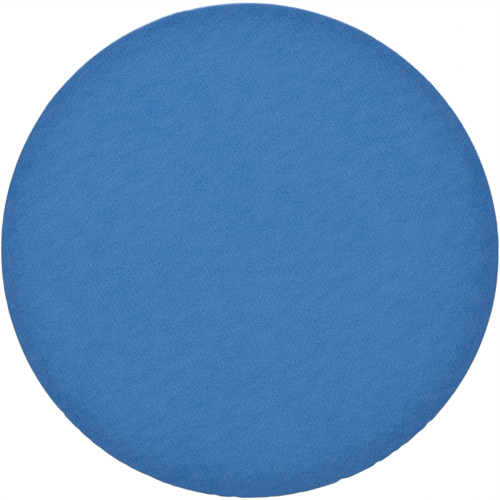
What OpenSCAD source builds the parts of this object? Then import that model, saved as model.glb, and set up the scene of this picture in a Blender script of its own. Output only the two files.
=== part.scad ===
// A round twist-fold backdrop panel: stretch face fabric over soft wadding, held open by a sprung steel
// hoop, and hung by an eyelet on its back. The panel is made as five upright sections, which stand in
// for its smooth elastic bend when the two sides are brought together to fold it away.
// Drawn first in its own disc frame: z towards the front, y up, centre of the hoop at the origin.

/* [Panel] */
// Diameter over the rim
panel_d = 560; // [540:5:600]
// How far the face stands in front of the middle of the hoop
crown_h = 15; // [13:0.5:15]
// How far the rolled rim stands behind the middle of the hoop
rim_back_h = 7.5; // [7.5:0.1:9]
// Squareness of the face's profile: higher keeps the middle flat further out
crown_square = 8; // [8:1:14]
// Thickness of the stretch face fabric
face_t = 1.0; // [0.8:0.1:1.0]
// Free space between two layers of cloth
layer_gap = 0.1; // [0.05:0.05:0.1]

/* [Hoop and casing] */
// Width of the spring-steel band, front to back
band_w = 8; // [6:0.5:8]
// Thickness of the spring-steel band
band_t = 1.0; // [0.8:0.1:1.0]
// Distance from the rim to the middle of the band
band_inset = 12; // [11:0.5:12]
// Free space inside the casing, on each side of the band
casing_room_r = 1.3; // [1.3:0.1:1.5]
// Free space inside the casing, in front of the band and behind it
casing_room_z = 1.0; // [1:0.1:1.2]
// Thickness of the casing tape
casing_t = 0.8; // [0.6:0.1:0.8]
// Length of the sleeve that joins the two ends of the band
splice_l = 40; // [30:1:50]
// Distance between the splice's two rivets
rivet_pitch = 22; // [16:1:24]
// Shank radius of a splice rivet
rivet_r = 1.2; // [1:0.1:1.4]

/* [Back] */
// Thickness of the opaque lining behind the wadding
lining_t = 0.7; // [0.5:0.1:0.7]
// Thickness of the woven back cover
back_t = 0.5; // [0.4:0.1:0.5]
// Width of the face fabric that is turned to the back
turn_w = 24; // [22:1:30]
// Width of the tape over the turned edge
hem_tape_w = 20; // [18:1:24]
// Thickness of the tape over the turned edge
hem_tape_t = 0.9; // [0.6:0.1:1]
// Width of a row of stitches
stitch_w = 0.7; // [0.5:0.1:1]
// How far a row of stitches stands proud
stitch_h = 0.4; // [0.3:0.1:0.5]

/* [Hanging tab] */
// Width of the webbing tab
tab_w = 20; // [18:1:24]
// Thickness of the doubled webbing
tab_t = 1.5; // [1.2:0.1:2]
// How far the tab's folded end stands behind its sewn end
tab_drop = 3; // [2:0.5:4]
// Radius of the eyelet's hole
eyelet_r = 4; // [3:0.5:5]
// Wall thickness of the eyelet's barrel
eyelet_wall = 1; // [0.8:0.1:1.2]
// Radius of the eyelet's flange and of its washer
flange_r = 8; // [7:0.5:8.5]
// Thickness of the flange and of the washer
flange_t = 0.6; // [0.5:0.1:0.8]

/* [Folding] */
// Free space at the cut between two sections
section_gap = 0.5; // [0.4:0.1:1]
// How far in front of the middle of the hoop the bend lines run, upright, at each cut
bend_z = 15.3; // [15.3:0.1:18.5]

/* [Hidden] */
$fn = 96;
SECTIONS = ["far_left", "left", "middle", "right", "far_right"];
LAYERS = ["face_cover", "face_wadding", "lining", "hoop", "rim_casing", "back_cover", "hem_tape",
          "hem_stitching"];
FITTINGS = ["hoop_splice", "splice_rivets", "hang_tab", "hang_eyelet", "eyelet_washer", "tab_stitching",
            "care_label"];

panel_r = panel_d / 2;
section_w = panel_d / len(SECTIONS);
far = panel_d;              // reaches past the panel in any direction
rim_round = 8;              // radius of the rim's roll towards the back, seen in section
profile_step = 7.5;         // degrees between the points of the face's profile
roll_step = 15;             // degrees between the points of the rim's roll

band_r = panel_r - band_inset;
band_in = band_r - band_t / 2;
band_out = band_r + band_t / 2;
casing_in = band_in - casing_room_r;
casing_out = band_out + casing_room_r;
casing_z = band_w / 2 + casing_room_z;
casing_back = casing_z + casing_t;

lining_z = band_w / 2 + layer_gap;      // front surface of the lining
back_z = -(casing_back + layer_gap);    // front surface of the back cover
back_r = panel_r - rim_round - 1;
turn_in = panel_r - turn_w;             // the face fabric's raw edge, on the back
turn_z = -rim_back_h;
tape_out = turn_in + hem_tape_w - 6;
tape_in = turn_in - 6;                  // the tape reaches 6 mm past the raw edge
tape_z = turn_z - layer_gap;
stitch_inset = 3;
stitch_z = tape_z - hem_tape_t - 0.05;

tab_top = tape_out - 2;
tab_bottom = tab_top - 46;
tab_bend = tape_in + 2;                 // where the tab leaves the tape
tab_slope = 5;
tab_corner = 2;                         // radius at the two corners of its folded end
tab_z = stitch_z - stitch_h - 0.05;     // front surface of the tab's sewn end
tab_eye_z = tab_z - tab_drop;           // front surface of the tab's folded end
eyelet_y = tab_bottom + tab_w / 2 + 2;
barrel_r = eyelet_r + eyelet_wall;
curl_r = barrel_r + 1.2;
contact = 0.05;                         // free space between metal and webbing
flange_z = tab_eye_z + contact;
washer_z = tab_eye_z - tab_t - contact;
eyelet_front = flange_z + flange_t;
eyelet_back = washer_z - flange_t - contact - flange_t;
eyelet_mid = (eyelet_front + eyelet_back) / 2;

assert(bend_z > crown_h, "the bend lines must run in front of the face, or the sections meet as they bend");

function section_left(i) = (i - len(SECTIONS) / 2) * section_w;

// Points of the face's profile, from the rim (angle 0) in to the middle (angle 90), inset by d
function face_points(d) = [for (a = [0:profile_step:90])
    [(panel_r - d) * pow(cos(a), 2 / crown_square), (crown_h - d) * sin(a)]];
// Points of the rim's roll towards the back, from the back (angle b1) out to the rim, inset by d
function roll_points(d, b1) = [for (b = [b1:-roll_step:roll_step])
    [panel_r - rim_round + (rim_round - d) * cos(b), -(rim_back_h - d) * sin(b)]];

// From the disc frame to the part's frame: Y back, Z up, origin in the middle of the eyelet's hole
module placed() {
    translate([0, eyelet_mid, -eyelet_y]) rotate([90, 0, 0]) children();
}

// The upright slice of a round layer that belongs to section i; the outer two run on to the rim
module sliced(i) {
    x_low = i == 0 ? -far : section_left(i) + section_gap / 2;
    x_high = i == len(SECTIONS) - 1 ? far : section_left(i + 1) - section_gap / 2;
    placed() intersection() {
        children();
        translate([x_low, -far, -far]) cube([x_high - x_low, 2 * far, 2 * far]);
    }
}

module ring(r_in, r_out, z_low, z_high) {
    rotate_extrude() translate([r_in, z_low]) square([r_out - r_in, z_high - z_low]);
}

module disc(r, z_low, z_high) {
    translate([0, 0, z_low]) cylinder(r = r, h = z_high - z_low);
}

// Stretch fabric: over the front, round the rim and turned in at the back
module face_cover(i) {
    outer = concat([[turn_in, turn_z]], roll_points(0, 90), face_points(0));
    inner = concat([[turn_in, turn_z + face_t]], roll_points(face_t, 90), face_points(face_t));
    color("steelblue") sliced(i) rotate_extrude()
        polygon(concat(outer, [for (k = [len(inner) - 1:-1:0]) inner[k]]));
}

// Soft wadding under the face, rolled over the casing at the rim
module face_wadding(i) {
    d = face_t + layer_gap;
    casing_front = casing_back + layer_gap;
    inside = casing_in - casing_t - layer_gap;
    outside = casing_out + casing_t + layer_gap;
    roll = roll_points(d, 45);
    edge = [[0, lining_z + layer_gap], [inside, lining_z + layer_gap], [inside, casing_front],
            [outside, casing_front], [outside, roll[0][1]]];
    color("aliceblue") sliced(i) rotate_extrude() polygon(concat(edge, roll, face_points(d)));
}

// Opaque sheet stretched across the hoop behind the wadding
module lining(i) {
    color("dimgray") sliced(i)
        disc(casing_in - casing_t - layer_gap, lining_z - lining_t, lining_z);
}

// Spring-steel band, a hoop with its two ends meeting at the bottom
module hoop(i) {
    ends_gap = 1;
    color("slategray") sliced(i) difference() {
        ring(band_in, band_out, -band_w / 2, band_w / 2);
        translate([-ends_gap / 2, -far, -far]) cube([ends_gap, far, 2 * far]);
        rivet_shanks(rivet_r + contact);
    }
}

// Tape sewn round the band as a tunnel
module rim_casing(i) {
    color("black") sliced(i) difference() {
        ring(casing_in - casing_t, casing_out + casing_t, -casing_back, casing_back);
        ring(casing_in, casing_out, -casing_z, casing_z);
    }
}

// Woven cover stretched across the back
module back_cover(i) {
    color("darkslategray") sliced(i) disc(back_r, back_z - back_t, back_z);
}

// Tape over the raw edge of the face fabric
module hem_tape(i) {
    under = back_z - back_t - layer_gap;
    step_r = turn_in - layer_gap;
    color("black") sliced(i) rotate_extrude() polygon([
        [tape_in, under], [step_r, under], [step_r, tape_z], [tape_out, tape_z],
        [tape_out, tape_z - hem_tape_t], [tape_in, tape_z - hem_tape_t]]);
}

// Two rows of stitches round the tape
module hem_stitching(i) {
    color("gray") sliced(i) for (r = [tape_in + stitch_inset, tape_out - stitch_inset])
        ring(r - stitch_w / 2, r + stitch_w / 2, stitch_z - stitch_h, stitch_z);
}

// Shanks of the two rivets at the bottom of the hoop, across the band
module rivet_shanks(r, l = 6) {
    turn = asin(rivet_pitch / 2 / band_r);
    for (a = [-turn, turn])
        rotate([0, 0, a]) translate([0, l / 2 - band_r, 0]) rotate([90, 0, 0]) cylinder(r = r, h = l);
}

// Crimped sleeve over the two ends of the band
module hoop_splice() {
    sleeve_t = 0.5;
    room = 0.1;
    turn = splice_l / band_r * 180 / PI;
    color("lightsteelblue") placed() difference() {
        rotate([0, 0, -90 - turn / 2]) rotate_extrude(angle = turn) difference() {
            translate([band_in - room - sleeve_t, -band_w / 2 - room - sleeve_t])
                square([band_t + 2 * (room + sleeve_t), band_w + 2 * (room + sleeve_t)]);
            translate([band_in - room, -band_w / 2 - room])
                square([band_t + 2 * room, band_w + 2 * room]);
        }
        rivet_shanks(rivet_r + contact);
    }
}

// Rivets through the sleeve and the band
module splice_rivets() {
    color("silver") placed() rivet_shanks(rivet_r, band_t + 1.8);
}

// Doubled webbing, sewn on the hem tape at the top, with its folded end standing off the back
module hang_tab() {
    color("black") placed() difference() {
        intersection() {
            translate([-tab_w / 2, 0, 0]) rotate([90, 0, 90]) linear_extrude(tab_w) polygon([
                [tab_top, tab_z], [tab_bend, tab_z], [tab_bend - tab_slope, tab_eye_z],
                [tab_bottom, tab_eye_z], [tab_bottom, tab_eye_z - tab_t],
                [tab_bend - tab_slope - 1, tab_eye_z - tab_t], [tab_bend - 1, tab_z - tab_t],
                [tab_top, tab_z - tab_t]]);
            translate([0, tab_bottom, -far / 2]) linear_extrude(far) union() {
                for (side = [-1, 1])
                    translate([side * (tab_w / 2 - tab_corner), tab_corner]) circle(r = tab_corner);
                translate([-tab_w / 2, tab_corner]) square([tab_w, 3 * tab_w]);
                translate([tab_corner - tab_w / 2, 0]) square([tab_w - 2 * tab_corner, 3 * tab_w]);
            }
        }
        translate([0, eyelet_y, -far / 2]) cylinder(r = barrel_r + contact, h = far);
    }
}

// Eyelet: flange, barrel and curled end, with the hole that the panel hangs by
module hang_eyelet() {
    color("silver") placed() translate([0, eyelet_y, 0]) difference() {
        union() {
            disc(barrel_r, eyelet_back, eyelet_front);
            disc(flange_r, flange_z, eyelet_front);
            disc(curl_r, eyelet_back, eyelet_back + flange_t);
        }
        disc(eyelet_r, eyelet_back - 1, eyelet_front + 1);
    }
}

// Washer under the eyelet's curled end
module eyelet_washer() {
    color("silver") placed() translate([0, eyelet_y, 0])
        ring(barrel_r + contact, flange_r, washer_z - flange_t, washer_z);
}

// Crossed box of stitches that holds the tab
module tab_stitching() {
    w = tab_w - 6;
    y_low = tab_bend + 2;
    y_high = tab_top - 2;
    h = y_high - y_low;
    diagonal = sqrt(w * w + h * h);
    z_low = tab_z - tab_t - 0.05 - stitch_h;
    color("gray") placed() translate([0, 0, z_low]) linear_extrude(stitch_h) {
        translate([0, (y_low + y_high) / 2]) {
            difference() {
                square([w, h], center = true);
                square([w - 2 * stitch_w, h - 2 * stitch_w], center = true);
            }
            for (side = [-1, 1]) rotate(side * atan2(h, w))
                square([diagonal - 2 * stitch_w, stitch_w], center = true);
        }
    }
}

// Blank woven label on the back cover, cut to the curve of the hem tape's inner edge
module care_label() {
    label_w = 26;
    label_h = 18;
    label_t = 0.3;
    label_x = 10;
    z_low = back_z - back_t - 0.05 - label_t;
    color("whitesmoke") placed() translate([0, 0, z_low]) linear_extrude(label_t) intersection() {
        translate([label_x, 2 - tape_in]) square([label_w, label_h]);
        circle(r = tape_in - layer_gap);
    }
}

for (i = [0:len(SECTIONS) - 1]) {
    face_cover(i);
    face_wadding(i);
    lining(i);
    hoop(i);
    rim_casing(i);
    back_cover(i);
    hem_tape(i);
    hem_stitching(i);
}
hoop_splice();
splice_rivets();
hang_tab();
hang_eyelet();
eyelet_washer();
tab_stitching();
care_label();
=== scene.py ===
"""Collapsible backdrop panel: blue stretch cover over wadding and a sprung hoop, dark back, hanging tab.

Every cloth layer is made whole, round the hoop, in the disc's own frame (x right, y up, z towards the face,
r outwards), and then cut into four strips.
"""

import math

import bmesh
import bpy
import numpy as np
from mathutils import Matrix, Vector


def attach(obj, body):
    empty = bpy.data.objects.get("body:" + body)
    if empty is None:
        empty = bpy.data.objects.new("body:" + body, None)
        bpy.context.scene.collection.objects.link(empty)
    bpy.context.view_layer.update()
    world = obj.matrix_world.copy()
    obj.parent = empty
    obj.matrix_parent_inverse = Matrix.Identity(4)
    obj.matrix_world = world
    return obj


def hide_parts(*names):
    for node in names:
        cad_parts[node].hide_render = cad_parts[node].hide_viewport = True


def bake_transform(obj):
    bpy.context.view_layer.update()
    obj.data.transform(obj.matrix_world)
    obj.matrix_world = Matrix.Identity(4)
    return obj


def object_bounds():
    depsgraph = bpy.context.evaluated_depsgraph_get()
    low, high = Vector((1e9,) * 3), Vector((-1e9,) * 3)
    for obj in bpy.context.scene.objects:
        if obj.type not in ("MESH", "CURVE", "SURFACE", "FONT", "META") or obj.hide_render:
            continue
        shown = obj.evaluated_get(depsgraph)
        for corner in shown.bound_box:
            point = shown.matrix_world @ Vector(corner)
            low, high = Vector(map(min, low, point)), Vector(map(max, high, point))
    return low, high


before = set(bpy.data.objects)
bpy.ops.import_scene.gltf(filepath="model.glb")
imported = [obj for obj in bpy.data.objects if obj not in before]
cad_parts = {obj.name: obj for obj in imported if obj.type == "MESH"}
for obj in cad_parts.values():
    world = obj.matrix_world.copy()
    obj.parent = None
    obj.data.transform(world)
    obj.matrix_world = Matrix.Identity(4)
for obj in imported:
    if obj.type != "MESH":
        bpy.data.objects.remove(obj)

MM = 0.001
TAU = 2 * math.pi
cad_lo, cad_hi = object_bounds()

# The disc in the row frame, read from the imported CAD
R = (cad_hi.z - cad_lo.z) / 2
CROWN = 15 * MM  # how far the face stands in front of the hoop's middle plane
CENTRE = Vector((0, cad_lo.y + CROWN, (cad_lo.z + cad_hi.z) / 2))

# The face cover's section: how square its crown is, the roll behind the rim, and the width turned to the back
SQUARENESS = 8
RIM_BACK, RIM_ROUND, HEM_IN = 7.5 * MM, 8 * MM, 24 * MM
KNIT_T = 1 * MM

# The layers behind the face, as in the CAD, in mm: radii, and heights from the hoop's middle plane
BAND_IN, BAND_OUT, BAND_Z = 267.5, 268.5, 4.0
CASING_IN, CASING_OUT, CASING_Z, CASING_T = 265.4, 270.6, 5.8, 0.8
LINING_R, LINING_FRONT, LINING_BACK = 265.2, 4.1, 3.4
BACK_R, BACK_FRONT, BACK_BACK = 271.0, -5.9, -6.4
TAPE_IN, TAPE_OUT, TAPE_BACK = 250.0, 270.0, -8.5

# The strips: two bodies, where the bend between them starts and ends, and the CAD sections they show
STIFF = 12 * MM  # the middle doesn't bend, where the tab is sewn on
CUT = 0.4 * R  # the outer cuts run down the middles of the left and the right section
BENT_TO = 0.9 * R
STRIPS = (
    ("far_left_section", "left_section", -BENT_TO, -CUT, ("far_left",)),
    ("left_section", "middle_section", -CUT, -STIFF, ("left",)),
    ("middle_section", "right_section", STIFF, CUT, ("middle", "right")),
    ("right_section", "far_right_section", CUT, BENT_TO, ("far_right",)),
)
CUTS = (-CUT, 0.0, CUT)
EDGES = (-1, *CUTS, 1)  # the first and the last are past the panel's sides
rng = np.random.default_rng(11)

COLS, FINE_COLS = 360, 1080  # columns of faces round the hoop


# ---------------------------------------------------------------- shapes in the disc's frame


def place(x, y, z):
    """Disc frame to row frame."""
    x, y, z = np.broadcast_arrays(x, y, z)
    return np.stack([CENTRE.x + x, CENTRE.y - z, CENTRE.z + y], axis=-1)


def smooth(t):
    """A soft step from 0 to 1."""
    t = np.clip(t, 0, 1)
    return t * t * (3 - 2 * t)


def out_of_round(theta):
    """How far the hoop is from a true circle, in metres: slightly oval, with a weak three-sided sway."""
    oval = 1.2 * MM * np.cos(2 * theta + math.radians(52))
    three_sided = 0.55 * MM * np.cos(3 * theta + math.radians(36))
    return oval + three_sided


def cover_section():
    """The face cover's outer surface in section, from the middle to the raw edge: arc length, r and z."""
    a = np.radians(np.concatenate([np.linspace(90, 30, 240), np.linspace(29.8, 0, 300)]))
    b = np.radians(np.linspace(0.5, 90, 120))
    roll = R - RIM_ROUND + RIM_ROUND * np.cos(b)
    r = np.concatenate([R * np.cos(a) ** (2 / SQUARENESS), roll, [R - HEM_IN]])
    z = np.concatenate([CROWN * np.sin(a), -RIM_BACK * np.sin(b), [-RIM_BACK]])
    r[0] = 0
    s = np.concatenate([[0], np.cumsum(np.hypot(np.diff(r), np.diff(z)))])
    even = np.linspace(0, s[-1], 3000)
    return even, np.interp(even, s, r), np.interp(even, s, z)


ARC, ARC_R, ARC_Z = cover_section()
ARC_NR, ARC_NZ = -np.gradient(ARC_Z, ARC), np.gradient(ARC_R, ARC)
RIM_S = ARC[np.argmax(ARC_R)]


class Relief:
    """How far the face cover stands off its plain section, along its normal, over arc length and angle."""

    def __init__(self, s, field):
        self.s, self.field = s, field

    def at(self, s, theta):
        """The height at these arc lengths and angles, in metres."""
        rows, cols = self.field.shape
        i = np.clip(np.interp(s, self.s, np.arange(rows)), 0, rows - 1.001)
        j = (theta / TAU * cols) % cols
        i0, j0 = i.astype(int), j.astype(int) % cols
        fi, fj = i - i0, j - np.floor(j)
        j1, f = (j0 + 1) % cols, self.field
        this_row = f[i0, j0] * (1 - fj) + f[i0, j1] * fj
        next_row = f[i0 + 1, j0] * (1 - fj) + f[i0 + 1, j1] * fj
        return this_row * (1 - fi) + next_row * fi

    def hollowest(self, turn):
        """This relief at its lowest within a turn to each side, which no pucker sinks below."""
        reach = math.ceil(turn / TAU * self.field.shape[1])
        near = [np.roll(self.field, k, axis=1) for k in range(-reach, reach + 1)]
        return Relief(self.s, np.min(near, axis=0))


# The narrow puckers over the rim: degrees round from the right, and depth in mm
PUCKERS = (
    (-168, 0.4), (-139, 0.6), (-120, 0.45), (-114, 0.4), (-109, 0.4), (-98, 0.7), (-93.5, 1.0), (-85, 0.35),
    (-78.5, 0.45), (-68, 1.2), (-59, 1.2), (-54.5, 0.6), (-52, 0.9), (-44, 1.2),
)


def puckers():
    """The fullness eased in at the hem: narrow puckers over the rim, and faint ones between them."""
    s = np.linspace(ARC[-1] * 0.6, ARC[-1], 200)
    theta = np.arange(2160) * TAU / 2160
    field = np.zeros((len(s), len(theta)))
    faint = [(turn, rng.uniform(0.08, 0.25)) for turn in rng.uniform(-180, 180, 34)]
    for turn, depth in (*PUCKERS, *faint):
        width = math.radians(rng.uniform(0.35, 0.6) + 0.15 * depth)
        reach = rng.uniform(0.010, 0.016) + 0.012 * depth
        lean = rng.uniform(-0.3, 0.3)
        along = smooth(1 - (RIM_S - s) / reach) * smooth((ARC[-1] - s) / (ARC[-1] - RIM_S))
        d = theta[None, :] - math.radians(turn) - lean * (s[:, None] - RIM_S) / R
        d = (d + math.pi) % TAU - math.pi
        widening = width * (1 + 1.5 * smooth((RIM_S - s) / reach))[:, None]
        dent = np.exp(-0.5 * (d / widening) ** 2)
        swell = np.exp(-0.5 * ((np.abs(d) - 2.6 * widening) / (1.3 * widening)) ** 2)
        field += depth * MM * along[:, None] * (0.22 * swell - dent)
    return Relief(s, field)


RELIEF = Relief(ARC[[0, -1]], np.zeros((2, 4)))


def angles(cols):
    """The angles of the columns, with the first again at the end."""
    return np.arange(cols + 1) * TAU / cols


def skin(depth, s, cols, relief=None):
    """The surface this far inside the face cover's outer surface, at these arc lengths, with its flat cloth
    coordinates."""
    theta, s = angles(cols)[None, :], np.asarray(s, float)[:, None]
    push = (relief or RELIEF).at(s + 0 * theta, theta + 0 * s) - depth
    r = np.maximum(np.interp(s, ARC, ARC_R) + np.interp(s, ARC, ARC_NR) * push, 0)
    z = np.interp(s, ARC, ARC_Z) + np.interp(s, ARC, ARC_NZ) * push
    r[s[:, 0] <= 0] = 0
    r = r + out_of_round(theta) * smooth(r / R) * (r > 0)
    flat = np.stack([s * np.cos(theta), s * np.sin(theta)], axis=-1)
    return place(r * np.cos(theta), r * np.sin(theta), z), flat


def turned(line, cols, wobble=None):
    """A surface turned from a section line of (r, z) points in mm, with its flat cloth coordinates. A disc's
    run with x and y, and a ring's run round it and across it. wobble(x, y) moves it along z."""
    r, z = (np.array(line, float).T * MM)[:, :, None]
    theta = angles(cols)[None, :]
    s = np.concatenate([[[0]], np.cumsum(np.hypot(np.diff(r, axis=0), np.diff(z, axis=0)), axis=0)])
    if r.min() == 0:
        flat = np.stack([r * np.cos(theta), r * np.sin(theta)], axis=-1)
    else:
        flat = np.stack([r.mean() * theta + 0 * s, s + 0 * theta], axis=-1)
    z = z + 0 * theta
    if wobble is not None:
        z = z + wobble(r * np.cos(theta), r * np.sin(theta))
    r = r + out_of_round(theta) * smooth(r / R) * (r > 0)
    return place(r * np.cos(theta), r * np.sin(theta), z), flat


def shell(name, points, flat, ring=False):
    """A mesh from rows by columns of points that runs round the hoop. A row on the axis becomes one vertex.
    In a ring the last row joins the first. Rows that run outwards in front and inwards behind make normals
    point out."""
    rows, cols = points.shape[0], points.shape[1] - 1
    axis = np.hypot(points[:, :, 0] - CENTRE.x, points[:, :, 2] - CENTRE.z).max(axis=1) < 1e-7
    index, verts = np.zeros((rows, cols + 1), int), []
    for i in range(rows):
        index[i] = len(verts) + (0 if axis[i] else np.arange(cols + 1) % cols)
        verts += points[i, :1].tolist() if axis[i] else points[i, :cols].tolist()
    faces, uvs = [], []
    for i in range(rows if ring else rows - 1):
        k = (i + 1) % rows
        corners = [(i, 0), (k, 0), (k, 1), (i, 1)]
        if axis[i]:
            corners.pop(3)
        elif axis[k]:
            corners.pop(2)
        faces += np.stack([index[a, b : cols + b] for a, b in corners], axis=-1).tolist()
        uvs.append(np.stack([flat[a, b : cols + b] for a, b in corners], axis=1).reshape(-1, 2))
    mesh = bpy.data.meshes.new(name)
    mesh.from_pydata(verts, [], faces)
    mesh.uv_layers.new(name="Cloth").data.foreach_set("uv", np.concatenate(uvs).astype(np.float32).ravel())
    return mesh


def settled(relief, rows=26, cols=480, frames=20):
    """The cover's outer part left to settle as cloth from this relief. Its flat middle and its hem are held,
    the wadding holds the rest softly from below, and a little fullness makes it wrinkle. What it adds is
    capped."""
    s = np.linspace(ARC[-1] * 0.62, ARC[-1], rows)
    points, flat = skin(0, s, cols, relief)
    cloth = bpy.data.objects.new("cloth", shell("cloth", points, flat))
    bpy.context.scene.collection.objects.link(cloth)
    ids = np.arange(rows * cols).reshape(rows, cols)
    hold = cloth.vertex_groups.new(name="hold")
    hold.add(ids[[0, -1]].ravel().tolist(), 1.0, "REPLACE")
    hold.add(ids[1:-1].ravel().tolist(), 0.2, "REPLACE")
    modifier = cloth.modifiers.new("cloth", "CLOTH")
    modifier.point_cache.frame_start, modifier.point_cache.frame_end = 1, frames
    settings = modifier.settings
    settings.quality = 6
    settings.mass = 0.02
    settings.tension_stiffness = settings.compression_stiffness = 12
    settings.shear_stiffness = 4
    settings.bending_stiffness = 0.05
    settings.vertex_group_mass, settings.pin_stiffness = "hold", 1.0
    settings.shrink_min = -FULLNESS
    settings.use_pressure, settings.uniform_pressure_force = True, 0.1
    settings.effector_weights.gravity = 0
    for frame_number in range(1, frames + 1):
        bpy.context.scene.frame_set(frame_number)
    done = cloth.evaluated_get(bpy.context.evaluated_depsgraph_get()).data
    end = np.zeros(len(done.vertices) * 3, np.float32)
    done.vertices.foreach_get("co", end)
    bpy.context.scene.frame_set(1)
    mesh = cloth.data
    bpy.data.objects.remove(cloth)
    bpy.data.meshes.remove(mesh)
    theta = angles(cols)[None, :-1]
    nr, nz = np.interp(s, ARC, ARC_NR)[:, None], np.interp(s, ARC, ARC_NZ)[:, None]
    out = np.stack([nr * np.cos(theta), -nz + 0 * theta, nr * np.sin(theta)], axis=-1)
    moved = ((end.reshape(rows, cols, 3) - points[:, :-1]) * out).sum(axis=-1)
    moved = np.clip(moved - moved.mean(axis=1, keepdims=True), -MOST_MOVED, MOST_MOVED)
    fine_cols = relief.field.shape[1]
    everywhere = np.broadcast_arrays(relief.s[:, None], angles(fine_cols)[None, :-1])
    added = Relief(s, moved).at(*everywhere) * smooth((relief.s - s[0]) / 0.02)[:, None]
    return Relief(relief.s, relief.field + sum(np.roll(added, k, axis=1) for k in range(-3, 4)) / 7)


FULLNESS = 0.004  # how much wider the cloth is than its place
MOST_MOVED = 0.5 * MM
RELIEF = settled(puckers())


def ring(name, line, cols=COLS):
    """A closed ring turned from a section line in mm."""
    return shell(name, *turned(line, cols), ring=True)


def stack_up(*parts):
    """Several sets of rows, each (points, flat), as one."""
    return np.concatenate([p for p, _ in parts]), np.concatenate([f for _, f in parts])


# ---------------------------------------------------------------- pieces on the bodies


def add(name, mesh, material):
    """A new piece with its material."""
    piece = bpy.data.objects.new(name, mesh)
    bpy.context.scene.collection.objects.link(piece)
    mesh.materials.append(material)
    return piece


def bend(piece):
    """Bakes the piece's placement into its mesh."""
    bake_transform(piece)


def cut_layer(name, mesh, material, layer, sharp=40):
    """Cuts a whole layer into four closed pieces that stand for the layer's CAD sections. The shading runs on
    over the cuts."""
    whole = bmesh.new()
    whole.from_mesh(mesh)
    for x in CUTS:
        geometry = whole.verts[:] + whole.edges[:] + whole.faces[:]
        bmesh.ops.bisect_plane(whole, geom=geometry, dist=1e-6, plane_co=(x, 0, 0), plane_no=(1, 0, 0))
    whole.normal_update()
    store = whole.verts.layers.float_vector.new("shade")
    for v in whole.verts:
        v[store] = v.normal
    pieces = []
    for i, (*_, sections) in enumerate(STRIPS):
        low, high = EDGES[i], EDGES[i + 1]
        part = whole.copy()
        outside = [f for f in part.faces if not low < f.calc_center_median().x < high]
        bmesh.ops.delete(part, geom=outside, context="FACES")
        for x in (low, high):
            rim = [e for e in part.edges if e.is_boundary and all(abs(v.co.x - x) < 1e-6 for v in e.verts)]
            if rim:
                side = 1 if x == high else -1
                made = bmesh.ops.triangle_fill(part, edges=rim, use_beauty=False, normal=(side, 0, 0))
                for f in made["geom"]:
                    if isinstance(f, bmesh.types.BMFace) and f.normal.x * side < 0:
                        f.normal_flip()
        data = bpy.data.meshes.new(f"{name}_{i + 1}")
        part.to_mesh(data)
        part.free()
        data.polygons.foreach_set("use_smooth", np.ones(len(data.polygons), bool))
        data.set_sharp_from_angle(angle=math.radians(sharp))
        shade_over_cuts(data, (low, high))
        piece = add(data.name, data, material)
        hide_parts(*[f"{layer}_{section}" for section in sections])
        bend(piece)
        pieces.append(piece)
    whole.free()
    bpy.data.meshes.remove(mesh)
    return pieces


def shade_over_cuts(data, cuts):
    """Gives the corners on a cut the whole layer's normals where the surface is smooth there."""
    n = len(data.loops)
    normals = np.zeros(n * 3, np.float32)
    data.corner_normals.foreach_get("vector", normals)
    normals = normals.reshape(-1, 3)
    stored = np.zeros(len(data.vertices) * 3, np.float32)
    data.attributes["shade"].data.foreach_get("vector", stored)
    at = np.zeros(n, np.int32)
    data.loops.foreach_get("vertex_index", at)
    co = np.zeros(len(data.vertices) * 3, np.float32)
    data.vertices.foreach_get("co", co)
    x = co.reshape(-1, 3)[at, 0]
    wanted = stored.reshape(-1, 3)[at]
    on_cut = (np.abs(x - cuts[0]) < 1e-6) | (np.abs(x - cuts[1]) < 1e-6)
    same = on_cut & ((normals * wanted).sum(axis=1) > 0.97)
    normals[same] = wanted[same]
    data.normals_split_custom_set(normals.tolist())
    data.attributes.remove(data.attributes["shade"])


# ---------------------------------------------------------------- materials


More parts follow.
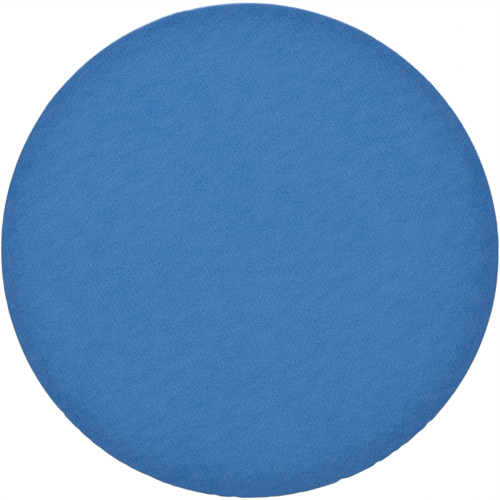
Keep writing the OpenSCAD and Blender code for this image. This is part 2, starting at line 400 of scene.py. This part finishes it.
class Paint:
    """A material with a Principled shader, and short ways to add nodes to it."""

    def __init__(self, name, colour, roughness, **values):
        self.material = bpy.data.materials.new(name)
        self.material.use_nodes = True
        self.nodes, self.links = self.material.node_tree.nodes, self.material.node_tree.links
        self.shader = self.nodes["Principled BSDF"]
        self.shader.inputs["Base Color"].default_value = (*colour, 1)
        self.shader.inputs["Roughness"].default_value = roughness
        for key, value in values.items():
            self.shader.inputs[key.replace("_", " ").title().replace("Ior", "IOR")].default_value = value

    def node(self, kind, inputs=None, **settings):
        """A node with its settings, and with each input linked or set."""
        n = self.nodes.new(kind)
        for key, value in settings.items():
            setattr(n, key, value)
        for key, value in (inputs or {}).items():
            if isinstance(value, bpy.types.NodeSocket):
                self.links.new(value, n.inputs[key])
            else:
                n.inputs[key].default_value = value
        return n

    def math(self, operation, a, b=0.0, c=0.0):
        return self.node("ShaderNodeMath", {0: a, 1: b, 2: c}, operation=operation).outputs[0]

    def cloth(self, turn=0.0, scale=(1, 1, 1)):
        """The flat cloth coordinates in metres, turned about the cloth's normal."""
        uv = self.node("ShaderNodeUVMap", uv_map="Cloth").outputs[0]
        turned_by = self.node("ShaderNodeMapping", {"Vector": uv, "Rotation": (0, 0, math.radians(turn))})
        return self.node("ShaderNodeMapping", {"Vector": turned_by.outputs[0], "Scale": scale}).outputs[0]

    def noise(self, vector, scale, detail=2.0, roughness=0.5):
        """Noise that is centred on 0, with about 1 as its spread."""
        values = {"Vector": vector, "Scale": scale, "Detail": detail, "Roughness": roughness}
        n = self.node("ShaderNodeTexNoise", values)
        return self.math("MULTIPLY", self.math("SUBTRACT", n.outputs[0], 0.5), 6.0)

    def waves(self, vector, period, axis, distortion, detail_scale):
        """Waves across an axis, from -0.5 to 0.5. The node has one wave in TAU / 20 of its own units."""
        values = {"Vector": vector, "Scale": TAU / 20 / period}
        values.update({"Distortion": distortion, "Detail Scale": detail_scale})
        n = self.node("ShaderNodeTexWave", values, bands_direction=axis)
        return self.math("SUBTRACT", n.outputs["Fac"], 0.5)

    def add_up(self, *terms):
        """The sum of (value, weight) terms."""
        total = 0.0
        for value, weight in terms:
            total = self.math("MULTIPLY_ADD", value, weight, total)
        return total

    def shade(self, colour, factor):
        """The base colour times a factor."""
        self.links.new(self.scaled(colour, factor), self.shader.inputs["Base Color"])

    def scaled(self, colour, factor):
        """A colour times a factor."""
        return self.node("ShaderNodeVectorMath", {0: colour, "Scale": factor}, operation="SCALE").outputs[0]

    def ramp(self, value, start, end, low, high):
        """A smooth rise from low to high, between two values."""
        values = {"Value": value, "From Min": start, "From Max": end, "To Min": low, "To Max": high}
        return self.node("ShaderNodeMapRange", values, interpolation_type="SMOOTHSTEP").outputs[0]

    def bump(self, height, distance):
        """Surface relief, this many metres high for a height of 1."""
        n = self.node("ShaderNodeBump", {"Height": height, "Distance": distance, "Strength": 1.0})
        self.links.new(n.outputs[0], self.shader.inputs["Normal"])


FACE_BLUE = (0.0543, 0.2025, 0.541)
PALE_FIBRE = (0.0076, 0.0134, 0.0184)  # what the pile's pale fibres add, for one step of the grain
BRUSHED = (0.0106, 0.0125, 0.0175)  # what the way the pile is brushed adds, for one step of the mottle
PAINTED_EDGE_SHEEN_TINT = (0.0120, 0.0300, 0.0100)  # painted sheen: a paler tint added to the colour where the cover turns over the rim
LINT = (0.30, 0.54, 0.95, 1)


def face_knit():
    """Brushed stretch knit: a pile that is mottled in soft slanting streaks, fine ribs under it, and specks
    of lint. Towards the rim its colour is lightened and paled: painted sheen where the cover turns over."""
    gloss = {"specular_ior_level": 1.0, "specular_tint": (0.20, 0.56, 1.0, 1)}
    sheen = {"sheen_weight": 0.5, "sheen_roughness": 0.5, "sheen_tint": (0.25, 0.55, 0.9, 1)}
    p = Paint("face_knit", FACE_BLUE, 0.5, **gloss, **sheen)
    flat = p.cloth()
    grain = p.noise(p.cloth(-30, (1, 0.75, 1)), 620, 3, 0.62)
    mottle = p.noise(p.cloth(-30, (1, 2.4, 1)), 38, 2, 0.65)
    clouds = p.noise(flat, 9, 2, 0.5)
    ribs = p.waves(p.cloth(-30), 4.6 * MM, "X", 3.0, 60)
    out = p.node("ShaderNodeVectorMath", {0: flat}, operation="LENGTH").outputs["Value"]
    # painted sheen: the colour is lightened by up to a fifth over the last 18 mm before the rim
    painted_rim_sheen = p.ramp(out, RIM_S - 18 * MM, RIM_S, 1.0, 1.2)
    # painted sheen: the paler tint fades in over the last 14 mm before the rim
    painted_edge_sheen = p.ramp(out, RIM_S - 14 * MM, RIM_S, 0.0, 1.0)
    shaded = p.scaled(FACE_BLUE, painted_rim_sheen)
    for tint, tone in (
        (PALE_FIBRE, p.add_up((grain, 5.25), (ribs, 1.7))),
        (BRUSHED, p.add_up((mottle, 1.15), (clouds, 0.5))),
        (PAINTED_EDGE_SHEEN_TINT, painted_edge_sheen),
    ):
        added = p.node("ShaderNodeVectorMath", {0: shaded, 1: p.scaled(tint, tone)}, operation="ADD")
        shaded = added.outputs[0]
    specks = p.node("ShaderNodeTexVoronoi", {"Vector": flat, "Scale": 62}, voronoi_dimensions="2D")
    near = p.math("LESS_THAN", specks.outputs["Distance"], 0.05)
    chance = p.node("ShaderNodeSeparateColor", {0: specks.outputs["Color"]}).outputs[0]
    lint = p.math("MULTIPLY", near, p.math("MULTIPLY", p.math("POWER", chance, 3.0), 0.36))
    with_lint = p.node("ShaderNodeMix", {0: lint, 6: shaded, 7: LINT}, data_type="RGBA")
    p.links.new(with_lint.outputs[2], p.shader.inputs["Base Color"])
    p.bump(p.add_up((grain, 0.5), (ribs, 0.8)), 0.06 * MM)
    return p.material


def woven(name, colour, pitch, roughness, relief, ribs=None, **values):
    """Plain weave, or with ribs, tape that is ribbed across its length."""
    p = Paint(name, colour, roughness, **values)
    flat = p.cloth()
    warp = p.waves(flat, pitch, "X", 0.4, 40)
    weft = p.waves(flat, ribs or pitch, "Y", 0.4, 40)
    fuzz = p.noise(flat, 900, 2)
    cloud = p.noise(flat, 30, 2)
    over = p.math("MULTIPLY", warp, weft)
    height = p.add_up((over, 2.0), (warp, 0.5), (weft, 0.3), (fuzz, 0.08))
    # painted shade: the colour is lighter where the weave stands high and darker in its hollows, plus random
    # tone from fuzz and cloud
    p.shade(colour, p.math("ADD", p.add_up((height, 0.30), (fuzz, 0.05), (cloud, 0.04)), 1.0))
    p.bump(height, relief)
    return p.material


def plain(name, colour, roughness, grain, amount, relief=0.0, **values):
    """A plain material with an uneven surface in the piece's own space."""
    p = Paint(name, colour, roughness, **values)
    speckle = p.noise(p.node("ShaderNodeTexCoord").outputs["Object"], grain, 3)
    p.shade(colour, p.math("ADD", p.math("MULTIPLY", speckle, amount), 1.0))
    p.links.new(p.math("MULTIPLY_ADD", speckle, 0.04, roughness), p.shader.inputs["Roughness"])
    if relief:
        p.bump(speckle, relief)
    return p.material


PAINTS = {
    "face_knit": face_knit(),
    "wadding": plain("wadding", (0.80, 0.81, 0.80), 0.95, 160, 0.04, 0.3 * MM),
    "lining": woven("lining", (0.05, 0.05, 0.055), 0.8 * MM, 0.8, 0.05 * MM),
    "spring_steel": plain("spring_steel", (0.30, 0.31, 0.33), 0.32, 80, 0.05, metallic=1.0),
    "casing_tape": woven("casing_tape", (0.02, 0.02, 0.022), 0.9 * MM, 0.8, 0.06 * MM),
    "back_cloth": woven(
        "back_cloth", (0.030, 0.032, 0.036), 0.75 * MM, 0.52, 0.05 * MM, specular_ior_level=0.45
    ),
    "hem_tape": woven("hem_tape", (0.012, 0.012, 0.014), 1.5 * MM, 0.7, 0.16 * MM, ribs=3.2 * MM),
    "thread": plain("thread", (0.10, 0.11, 0.12), 0.6, 900, 0.10, 0.05 * MM),
    "splice_steel": plain("splice_steel", (0.45, 0.46, 0.47), 0.38, 300, 0.05, metallic=1.0),
    "rivet_aluminium": plain("rivet_aluminium", (0.70, 0.71, 0.72), 0.35, 400, 0.04, metallic=1.0),
    "webbing": woven("webbing", (0.014, 0.014, 0.016), 1.3 * MM, 0.6, 0.2 * MM, ribs=2.2 * MM),
    "eyelet_nickel": plain("eyelet_nickel", (0.80, 0.78, 0.74), 0.30, 250, 0.03, metallic=1.0),
    "label": woven("label", (0.80, 0.80, 0.78), 0.5 * MM, 0.55, 0.02 * MM),
}


# ---------------------------------------------------------------- the face side


# The face cover's rows: from and to a share of its arc, and how many. They are closest where it rolls over.
SHARES = ((0, 0.60, 33), (0.60, 0.80, 21), (0.80, 0.96, 57), (0.96, 1.0, 5))
FINE_ROWS = np.concatenate([*(np.linspace(a, b, n, endpoint=False) for a, b, n in SHARES), [1.0]]) * ARC[-1]
COARSE_ROWS = FINE_ROWS[::-2]
if COARSE_ROWS[-1] > 0:
    COARSE_ROWS = np.append(COARSE_ROWS, 0)

outer, inner = skin(0, FINE_ROWS, FINE_COLS), skin(KNIT_T, COARSE_ROWS, FINE_COLS)
cover = shell("face_fabric", *stack_up(outer, inner))
face_fabric = cut_layer("face_fabric", cover, PAINTS["face_knit"], "face_cover", sharp=60)

wadding_end = ARC[np.argmax((ARC > RIM_S) & (ARC_Z < -6 * MM))]
wadding_rows = np.append(FINE_ROWS[(FINE_ROWS < wadding_end)][::2], wadding_end)
DISC_ROWS = range(0, 264, 8)  # mm, close enough for every layer to bend alike
pad_in, pad_out, pad_back, pad_front = CASING_IN - 0.3, CASING_OUT + 0.4, LINING_FRONT + 0.2, CASING_Z + 0.15
under = [(pad_out, -6.0), (pad_out, pad_front), (pad_in, pad_front), (pad_in, pad_back)]
under += [(r, pad_back) for r in DISC_ROWS[::-1]]
pad_skin = skin(KNIT_T + 0.25 * MM, wadding_rows, COLS, RELIEF.hollowest(math.radians(1.2)))
pad = shell("padding", *stack_up(pad_skin, turned(under, COLS)))
padding = cut_layer("padding", pad, PAINTS["wadding"], "face_wadding")

lining_line = [(r, LINING_FRONT) for r in DISC_ROWS] + [(LINING_R, LINING_FRONT), (LINING_R, LINING_BACK)]
lining_line += [(r, LINING_BACK) for r in DISC_ROWS[::-1]]
lining_mesh = shell("lining_sheet", *turned(lining_line, COLS))
lining = cut_layer("lining_sheet", lining_mesh, PAINTS["lining"], "lining")

# ---------------------------------------------------------------- the hoop and its casing


band_line = [(BAND_IN, BAND_Z), (BAND_OUT, BAND_Z), (BAND_OUT, -BAND_Z), (BAND_IN, -BAND_Z)]
cut_layer("hoop_band", ring("hoop_band", band_line), PAINTS["spring_steel"], "hoop")


def tube(name, out, inner):
    """A hollow tape tunnel: an outer ring and an inner one, whose normals point into the tunnel."""
    mesh = ring(name, out)
    inside = ring(name + "_in", inner[::-1])
    joined = bmesh.new()
    joined.from_mesh(mesh)
    joined.from_mesh(inside)
    joined.to_mesh(mesh)
    joined.free()
    bpy.data.meshes.remove(inside)
    return mesh


def rounded(r0, r1, z, c):
    """A ring's section, as high behind as in front, with its corners cut off, clockwise from the top left."""
    front = [(r0, z - c), (r0 + c, z), (r1 - c, z), (r1, z - c)]
    return front + [(r, -height) for r, height in front[::-1]]


casing_mesh = tube(
    "casing",
    rounded(CASING_IN, CASING_OUT, CASING_Z, 0.9),
    rounded(CASING_IN + CASING_T, CASING_OUT - CASING_T, CASING_Z - CASING_T, 0.5),
)
casing = cut_layer("casing", casing_mesh, PAINTS["casing_tape"], "rim_casing")

# ---------------------------------------------------------------- the back


SLACK_LINES = np.random.default_rng(5).random((7, 4))


def slack(x, y):
    """The back cover's soft tension lines, which fade out under the tape and under the label."""
    total = 0
    for turn, spread, phase, depth in SLACK_LINES:
        across = (x * math.cos(turn * TAU) + y * math.sin(turn * TAU)) / (0.05 + 0.10 * spread)
        total = total + np.sin(across + phase * TAU) * (0.3 + 0.7 * depth)
    return 0.16 * MM * total * smooth((0.247 - np.hypot(x, y)) / 0.06)


BACK_ROWS = [*range(0, 240, 8), 244, 248]
back_line = [(r, BACK_FRONT) for r in BACK_ROWS] + [(BACK_R, BACK_FRONT), (BACK_R, BACK_BACK)]
back_line += [(r, BACK_BACK) for r in BACK_ROWS[::-1]]
back_mesh = shell("back_sheet", *turned(back_line, COLS, slack))
back = cut_layer("back_sheet", back_mesh, PAINTS["back_cloth"], "back_cover")

# The tape's section steps over the raw edge, and its two rows of stitches sink into it
tape_line = [
    (TAPE_IN, -6.72), (255.6, -6.68), (256.4, -7.62), (269.6, -7.62), (TAPE_OUT, -7.9), (269.7, -8.4),
    (268.2, TAPE_BACK), (267.4, -8.36), (266.6, -8.36), (265.8, TAPE_BACK), (258.5, TAPE_BACK), (256.0, -8.3),
    (254.3, -7.75), (253.4, -7.5), (252.6, -7.5), (251.6, -7.6), (250.4, -7.5), (TAPE_IN, -7.2),
]
tape = cut_layer("tape", ring("tape", tape_line, 2 * COLS), PAINTS["hem_tape"], "hem_tape")


def thread(points, ways, length, width, height):
    """One mesh of many stitches: flat beads with soft ends at points of the disc frame, along these ways."""
    rings, sides = 7, 8
    t = np.cos(np.linspace(0, math.pi, rings))
    fat = np.sqrt(np.maximum(1 - np.abs(t) ** 3, 0)) * 0.5
    a = np.arange(sides) * TAU / sides
    across, high = (np.outer(fat, wave).ravel() for wave in (np.cos(a), np.sin(a)))
    bead = np.stack([np.repeat(t * 0.5, sides), across, high], axis=-1)
    faces = []
    for i in range(rings - 1):
        for j in range(sides):
            k = (j + 1) % sides
            faces.append((i * sides + j, i * sides + k, (i + 1) * sides + k, (i + 1) * sides + j))
    points, ways = np.asarray(points, float), np.asarray(ways, float)
    side = np.stack([-ways[:, 1], ways[:, 0], 0 * ways[:, 0]], axis=-1)
    up = np.cross(ways, side)
    along, across, high = np.moveaxis(bead * np.array([length, width, height]), -1, 0)[..., None]
    world = points[:, None] + along * ways[:, None] + across * side[:, None] + high * up[:, None]
    n = rings * sides
    every = [[v + k * n for v in f] for k in range(len(points)) for f in faces]
    mesh = bpy.data.meshes.new("thread")
    mesh.from_pydata(place(*world.reshape(-1, 3).T).tolist(), [], every)
    mesh.polygons.foreach_set("use_smooth", np.ones(len(mesh.polygons), bool))
    return mesh


HEM_PITCH = 3.6 * MM


def hem_stitches():
    """Two rows of stitches round the tape, as four pieces, one for each strip."""
    centres, ways = [], []
    for r, z in (((TAPE_IN + 3) * MM, -7.62 * MM), ((TAPE_OUT - 3) * MM, TAPE_BACK * MM)):
        count = round(TAU * r / HEM_PITCH)
        theta = (np.arange(count) + rng.normal(0, 0.04, count)) * TAU / count
        rr = r + out_of_round(theta) * smooth(r / R) + rng.normal(0, 0.06 * MM, count)
        lean = rng.normal(math.radians(5), math.radians(2.5), count)
        centres.append(np.stack([rr * np.cos(theta), rr * np.sin(theta), z + 0 * theta], axis=-1))
        ways.append(np.stack([-np.sin(theta + lean), np.cos(theta + lean), 0 * theta], axis=-1))
    centres, ways = np.concatenate(centres), np.concatenate(ways)
    for i, (*_, sections) in enumerate(STRIPS):
        mine = (centres[:, 0] >= EDGES[i]) & (centres[:, 0] < EDGES[i + 1])
        mesh = thread(centres[mine], ways[mine], 2.7 * MM, 0.62 * MM, 0.55 * MM)
        mesh.name = f"stitches_{i + 1}"
        piece = add(mesh.name, mesh, PAINTS["thread"])
        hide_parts(*[f"hem_stitching_{section}" for section in sections])
        bend(piece)


hem_stitches()


# ---------------------------------------------------------------- the hanging tab and the label


EYE_Y = -CENTRE.z  # the eyelet is at the frame's origin
TAB_W = 20 * MM
LABEL_W = 26 * MM


def strap(name, path, width, thick, material, edge):
    """A flat strap along a path of (y, z) points in mm in the disc frame, with flat cloth coordinates that
    run along it. Its long edges are rounded over twice this edge, in mm."""
    path = np.array(path, float) * MM
    half, thick = width / 2, thick * MM
    d = np.gradient(path, axis=0)
    d /= np.linalg.norm(d, axis=1)[:, None]
    normal = np.stack([-d[:, 1], d[:, 0]], axis=-1)
    s = np.concatenate([[0], np.cumsum(np.linalg.norm(np.diff(path, axis=0), axis=1))])
    e = edge * MM * 2
    x = np.linspace(-half + e, half - e, 12)
    shoulder, drop = half - e * 0.3, thick * 0.36
    section = [(v, thick / 2) for v in x] + [(shoulder, drop), (half, 0), (shoulder, -drop)]
    section += [(v, -thick / 2) for v in x[::-1]] + [(-shoulder, -drop), (-half, 0), (-shoulder, drop)]
    verts, faces, uvs = [], [], []
    n = len(section)
    for i in range(len(path)):
        for u, w in section:
            y, z = path[i] + normal[i] * w
            verts.append(place(u, y, z).tolist())
    for i in range(len(path) - 1):
        for j in range(n):
            k = (j + 1) % n
            faces.append((i * n + j, i * n + k, (i + 1) * n + k, (i + 1) * n + j))
            (u, _), (u_next, _) = section[j], section[k]
            uvs += [(u, s[i]), (u_next, s[i]), (u_next, s[i + 1]), (u, s[i + 1])]
    for i, order in ((0, range(n - 1, -1, -1)), (len(path) - 1, range(n))):
        faces.append([i * n + j for j in order])
        uvs += [(section[j][0], s[i]) for j in order]
    mesh = bpy.data.meshes.new(name)
    mesh.from_pydata(verts, [], faces)
    mesh.uv_layers.new(name="Cloth").data.foreach_set("uv", np.array(uvs, np.float32).ravel())
    mesh.polygons.foreach_set("use_smooth", np.ones(len(mesh.polygons), bool))
    mesh.set_sharp_from_angle(angle=math.radians(60))
    return add(name, mesh, material), s[-1]


def eased(points, n):
    """A smooth path through these points."""
    points = np.array(points, float)
    s = np.concatenate([[0], np.cumsum(np.linalg.norm(np.diff(points, axis=0), axis=1))])
    t = np.linspace(0, s[-1], n)
    out = np.stack([np.interp(t, s, points[:, k]) for k in (0, 1)], axis=-1)
    kernel = np.array([1, 2, 3, 2, 1]) / 9
    for _ in range(3):
        for k in (0, 1):
            out[2:-2, k] = np.convolve(out[:, k], kernel, "valid")
    return out


def hanging_tab():
    """Doubled webbing: down from the tape, folded at its end, and back up behind itself, with a hole punched
    through both layers for the eyelet."""
    fold = [(222.5, -12.38), (222.15, -12.6), (222.05, -12.75), (222.15, -12.9), (222.5, -13.12)]
    front = [(268, -9.38), (253, -9.38), (247, -12.38)]
    back = [(246, -13.12), (252, -10.12), (268, -10.12)]
    path = np.concatenate([eased(front + fold[:1], 60), fold[1:-1], eased(fold[-1:] + back, 60)])
    tab, length = strap("webbing_tab", path, TAB_W, 0.7, PAINTS["webbing"], edge=0.25)
    cutter = cylinder("cutter", 4.98 * MM, 30 * MM, 64)
    cutter.location = place(0, EYE_Y, -12.7 * MM).tolist()
    cutter.rotation_euler = (math.pi / 2, 0, 0)
    hole = tab.modifiers.new("hole", "BOOLEAN")
    hole.operation, hole.object, hole.solver = "DIFFERENCE", cutter, "EXACT"
    apply_modifiers(tab)
    bpy.data.objects.remove(cutter)
    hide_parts("hang_tab")
    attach(tab, "middle_section")


def cylinder(name, radius, height, sides):
    """A solid cylinder about Z, in the middle of the frame."""
    mesh = bpy.data.meshes.new(name)
    shape = bmesh.new()
    bmesh.ops.create_cone(shape, cap_ends=True, segments=sides, radius1=radius, radius2=radius, depth=height)
    shape.to_mesh(mesh)
    shape.free()
    obj = bpy.data.objects.new(name, mesh)
    bpy.context.scene.collection.objects.link(obj)
    return obj


def apply_modifiers(obj):
    """The object's mesh becomes what its modifiers make of it."""
    bpy.context.view_layer.update()
    done = bpy.data.meshes.new_from_object(obj.evaluated_get(bpy.context.evaluated_depsgraph_get()))
    obj.modifiers.clear()
    old, obj.data = obj.data, done
    bpy.data.meshes.remove(old)


hanging_tab()


def box_stitches():
    """The crossed box that holds the tab: single stitches along its sides and its diagonals."""
    w, low, high, z = 7, 254, 266, -10.62
    lines = [((-w, low), (w, low)), ((w, low), (w, high)), ((w, high), (-w, high)), ((-w, high), (-w, low))]
    lines += [((-w, low), (w, high)), ((-w, high), (w, low))]
    centres, ways = [], []
    for (x0, y0), (x1, y1) in lines:
        span = math.hypot(x1 - x0, y1 - y0)
        count = round(span / 2.4)
        for k in range(count):
            t = (k + 0.5) / count
            centres.append(((x0 + (x1 - x0) * t) * MM, (y0 + (y1 - y0) * t) * MM, z * MM))
            ways.append(((x1 - x0) / span, (y1 - y0) / span, 0))
    mesh = thread(centres, ways, 2.0 * MM, 0.6 * MM, 0.5 * MM)
    piece = add("box_stitches", mesh, PAINTS["thread"])
    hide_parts("tab_stitching")
    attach(piece, "middle_section")


box_stitches()


def ribbon_label():
    """A blank satin ribbon, its end held under the edge of the tape and its free end curling off the back."""
    path = [(-252.2, -6.53), (-249.5, -6.53), (-246, -6.6), (-240, -6.75), (-234, -7.2), (-230, -7.9)]
    label, length = strap("ribbon_label", eased(path, 40), LABEL_W, 0.16, PAINTS["label"], edge=0.1)
    for v in label.data.vertices:
        v.co.x += 23 * MM  # off the middle, so that it lies on one strip only
    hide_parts("care_label")
    bend(label)


ribbon_label()

for node in ("hang_eyelet", "eyelet_washer", "hoop_splice", "splice_rivets"):
    slot = {"hoop_splice": "splice_steel", "splice_rivets": "rivet_aluminium"}.get(node, "eyelet_nickel")
    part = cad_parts[node]
    part.data.materials.clear()
    part.data.materials.append(PAINTS[slot])

# ---------------------------------------------------------------- stage, lights and camera


def light(name, kind, offset, power):
    """A light at this offset from the middle of the disc, turned to it."""
    lamp = bpy.data.lights.new(name, kind)
    lamp.energy = power
    obj = bpy.data.objects.new(name, lamp)
    bpy.context.scene.collection.objects.link(obj)
    obj.location = CENTRE + Vector(offset)
    obj.rotation_euler = (CENTRE - obj.location).to_track_quat("-Z", "Y").to_euler()
    return lamp


def white_room(ambient):
    """A white surround to the camera, which lights the scene more softly than it looks."""
    world = bpy.data.worlds.new("room")
    bpy.context.scene.world = world
    world.use_nodes = True
    nodes, links = world.node_tree.nodes, world.node_tree.links
    nodes.clear()
    seen, lit = nodes.new("ShaderNodeBackground"), nodes.new("ShaderNodeBackground")
    lit.inputs["Strength"].default_value = ambient
    seen.inputs["Color"].default_value = lit.inputs["Color"].default_value = (1, 1, 1, 1)
    path, mix = nodes.new("ShaderNodeLightPath"), nodes.new("ShaderNodeMixShader")
    out = nodes.new("ShaderNodeOutputWorld")
    links.new(path.outputs["Is Camera Ray"], mix.inputs[0])
    links.new(lit.outputs[0], mix.inputs[1])
    links.new(seen.outputs[0], mix.inputs[2])
    links.new(mix.outputs[0], out.inputs[0])


white_room(0.18)
light("key", "SUN", (-0.03, -1.0, 0.04), 1.01).angle = 0.2
for name, offset, across, power in (
    ("window", (-0.12, -1.8, 0.32), 0.9, 6.8),
    ("back_fill", (0.9, 1.6, 0.9), 1.2, 22),
    ("top", (-0.3, 1.5, 2.2), 1.6, 42),
):
    lamp = light(name, "AREA", offset, power)
    lamp.shape, lamp.size = "DISK", across

FLOOR_GAP = 0.13  # below the disc
floor = cylinder("floor", 1.8, 0.01, 160)
floor.location = (0, CENTRE.y, CENTRE.z - R - FLOOR_GAP)
floor.data.materials.append(plain("floor", (0.86, 0.86, 0.86), 0.7, 40, 0.01))
floor.visible_diffuse = floor.visible_glossy = False  # it throws no light up at the panel

DISTANCE = 6.0
FRAME_ACROSS = 2 * R / 0.9926  # the disc nearly fills the square picture
NUDGE = FRAME_ACROSS / 1000  # and sits this far left of its middle, and below it
camera = bpy.data.cameras.new("camera")
camera.sensor_width = 36
camera.lens = DISTANCE * camera.sensor_width / FRAME_ACROSS
camera.clip_end = 100
eye = bpy.data.objects.new("camera", camera)
bpy.context.scene.collection.objects.link(eye)
eye.location = (NUDGE, CENTRE.y - DISTANCE, CENTRE.z + NUDGE)
eye.rotation_euler = (math.pi / 2, 0, 0)
bpy.context.scene.camera = eye
bpy.context.scene.view_settings.view_transform = "Standard"
